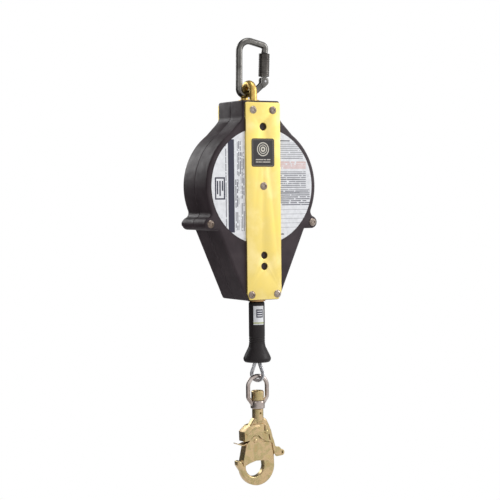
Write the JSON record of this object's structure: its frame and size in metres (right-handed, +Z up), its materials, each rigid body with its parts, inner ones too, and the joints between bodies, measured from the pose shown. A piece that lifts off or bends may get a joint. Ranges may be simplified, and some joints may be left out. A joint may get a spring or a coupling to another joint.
{
  "type": "self retracting lifeline",
  "caption": "Fall-arrest retractor: round housing between load plates, swivel eye on a locking carabiner, sealed drum, rubber bumper and double-locking snap hook.",
  "frame": {"origin": "underside of the carabiner's crown, where the anchor that holds the object bears", "axes": "+Z up, away from the hanging load; -Y out of the front load plate; +X to the right, the side of the carabiner's gate"},
  "size_m": [0.2346, 0.1076, 0.812],
  "materials": {
    "anchor_steel": "dark polished zinc-nickel",
    "bright_steel": "machined, zinc plated",
    "eye_gold": "forged, yellow zinc plated",
    "plate_gold": "yellow zinc chromate on sheet steel",
    "shell": "moulded, satin",
    "rubber": "moulded, satin",
    "paper": "printed vinyl",
    "dark_label": "printed vinyl",
    "bronze": "machined",
    "wire_rope": "galvanized strands",
    "spring_steel": "blued",
    "friction": "moulded friction lining",
    "link_steel": "polished, zinc plated",
    "hook_zinc": "forged, yellow zinc plated"
  },
  "bodies": {
    "anchor": {"carabiner_body": "anchor_steel", "carabiner_gate_pin": "bright_steel"},
    "anchor_gate": {"carabiner_gate": "anchor_steel", "carabiner_gate_spring": "bright_steel"},
    "anchor_sleeve": {"carabiner_sleeve": "anchor_steel"},
    "eye": {"swivel_eye": "eye_gold", "swivel_nut": "bright_steel"},
    "housing": {"swivel_washer": "bronze", "swivel_block": "bright_steel", "front_plate": "plate_gold", "rear_plate": "plate_gold", "front_plate_screws": "bright_steel", "rear_plate_screws": "bright_steel", "shaft_screws": "bright_steel", "front_shell": "shell", "rear_shell": "shell", "shell_gasket": "rubber", "ear_screws": "bright_steel", "ear_nuts": "bright_steel", "front_label": "paper", "rear_label": "paper", "plate_label": "dark_label", "outlet_block": "bright_steel", "outlet_bush": "bronze", "main_shaft": "bright_steel", "lifeline_lead": "wire_rope", "motor_spring": "spring_steel", "spring_case": "bright_steel", "spring_cover": "bright_steel", "brake_linings": "friction", "brake_pressure_ring": "bright_steel", "brake_back_plate": "bright_steel", "brake_bolts": "spring_steel", "brake_spring_washers": "bright_steel"},
    "drum": {"drum_spool": "bright_steel", "drum_flange": "bright_steel", "drum_screws": "bright_steel", "drum_bushes": "bronze", "lifeline_coil": "wire_rope", "lifeline_anchor": "bronze", "spring_arbor": "spring_steel", "pawl_pins": "bright_steel", "pawl_springs": "bright_steel"},
    "brake": {"brake_ring": "spring_steel"},
    "pawl_1": {"pawl_a": "spring_steel"},
    "pawl_2": {"pawl_b": "spring_steel"},
    "pawl_3": {"pawl_c": "spring_steel"},
    "line_end": {"bumper": "rubber", "bumper_label": "paper", "lifeline_run": "wire_rope", "lifeline_eye": "wire_rope", "ferrule": "bright_steel", "thimble": "bright_steel"},
    "bail": {"swivel_bail": "link_steel"},
    "hook": {"hook_body": "hook_zinc", "hook_swivel_nut": "hook_zinc", "hook_gate_spring": "bright_steel", "hook_rivets": "bright_steel"},
    "hook_gate_body": {"hook_gate": "hook_zinc"},
    "hook_lock_body": {"hook_lock": "hook_zinc"}
  },
  "joints": [
    {"name": "anchor_swing", "type": "hinge", "parent": "anchor", "child": "eye", "pos_m": [0, 0, -0.088], "axis": [1, 0, 0], "range_deg": [-60, 60]},
    {"name": "housing_swivel", "type": "hinge", "parent": "eye", "child": "housing", "pos_m": [0, 0, -0.1275], "axis": [0, 0, 1], "continuous": true},
    {"name": "anchor_gate_swing", "type": "hinge", "parent": "anchor", "child": "anchor_gate", "pos_m": [0.0316, 0, -0.0665], "axis": [0, 1, 0], "range_deg": [-28, 0], "stiffness_Nm_per_rad": 0.12, "springref_deg": 51.57},
    {"name": "sleeve_twist", "type": "hinge", "parent": "anchor_gate", "child": "anchor_sleeve", "pos_m": [0.0316, 0, -0.0665], "axis": [0.0392, 0, 0.9992], "range_deg": [0, 90], "stiffness_Nm_per_rad": 0.01, "springref_deg": -34.38},
    {"name": "drum_spin", "type": "hinge", "parent": "housing", "child": "drum", "pos_m": [0, -0.02, -0.2575], "axis": [0, 1, 0], "range_deg": [0, 14040], "stiffness_Nm_per_rad": 0.009, "springref_deg": -9740.28},
    {"name": "line_pull", "type": "slide", "parent": "housing", "child": "line_end", "axis": [0, 0, -1], "range_m": [0, 15.24], "deforming": ["lifeline_run"]},
    {"name": "brake_slip", "type": "hinge", "parent": "housing", "child": "brake", "pos_m": [0, 0.003, -0.2575], "axis": [0, 1, 0], "continuous": true},
    {"name": "pawl_1_swing", "type": "hinge", "parent": "drum", "child": "pawl_1", "pos_m": [0, 0.004, -0.2075], "axis": [0, 1, 0], "range_deg": [-18, 0], "stiffness_Nm_per_rad": 0.01, "springref_deg": 34.38},
    {"name": "pawl_2_swing", "type": "hinge", "parent": "drum", "child": "pawl_2", "pos_m": [0.0433, 0.004, -0.2825], "axis": [0, 1, 0], "range_deg": [-18, 0], "stiffness_Nm_per_rad": 0.01, "springref_deg": 34.38},
    {"name": "pawl_3_swing", "type": "hinge", "parent": "drum", "child": "pawl_3", "pos_m": [-0.0433, 0.004, -0.2825], "axis": [0, 1, 0], "range_deg": [-18, 0], "stiffness_Nm_per_rad": 0.01, "springref_deg": 34.38},
    {"name": "bail_swing", "type": "hinge", "parent": "line_end", "child": "bail", "pos_m": [0, -0.02025, -0.6018], "axis": [1, 0, 0], "range_deg": [-80, 80]},
    {"name": "hook_swivel", "type": "hinge", "parent": "bail", "child": "hook", "pos_m": [0, -0.02025, -0.6525], "axis": [0, 0, 1], "continuous": true},
    {"name": "hook_gate_swing", "type": "hinge", "parent": "hook", "child": "hook_gate_body", "pos_m": [-0.01, -0.02025, -0.7185], "axis": [0, 1, 0], "range_deg": [-30, 0], "stiffness_Nm_per_rad": 0.15, "springref_deg": 45.84},
    {"name": "hook_lock_press", "type": "hinge", "parent": "hook", "child": "hook_lock_body", "pos_m": [0.012, -0.02025, -0.7035], "axis": [0, 1, 0], "range_deg": [0, 6], "stiffness_Nm_per_rad": 0.3, "springref_deg": -28.65}
  ],
  "couplings": [
    {"joint": "line_pull", "follows": "drum_spin", "m_per_rad": 0.06219}
  ]
}
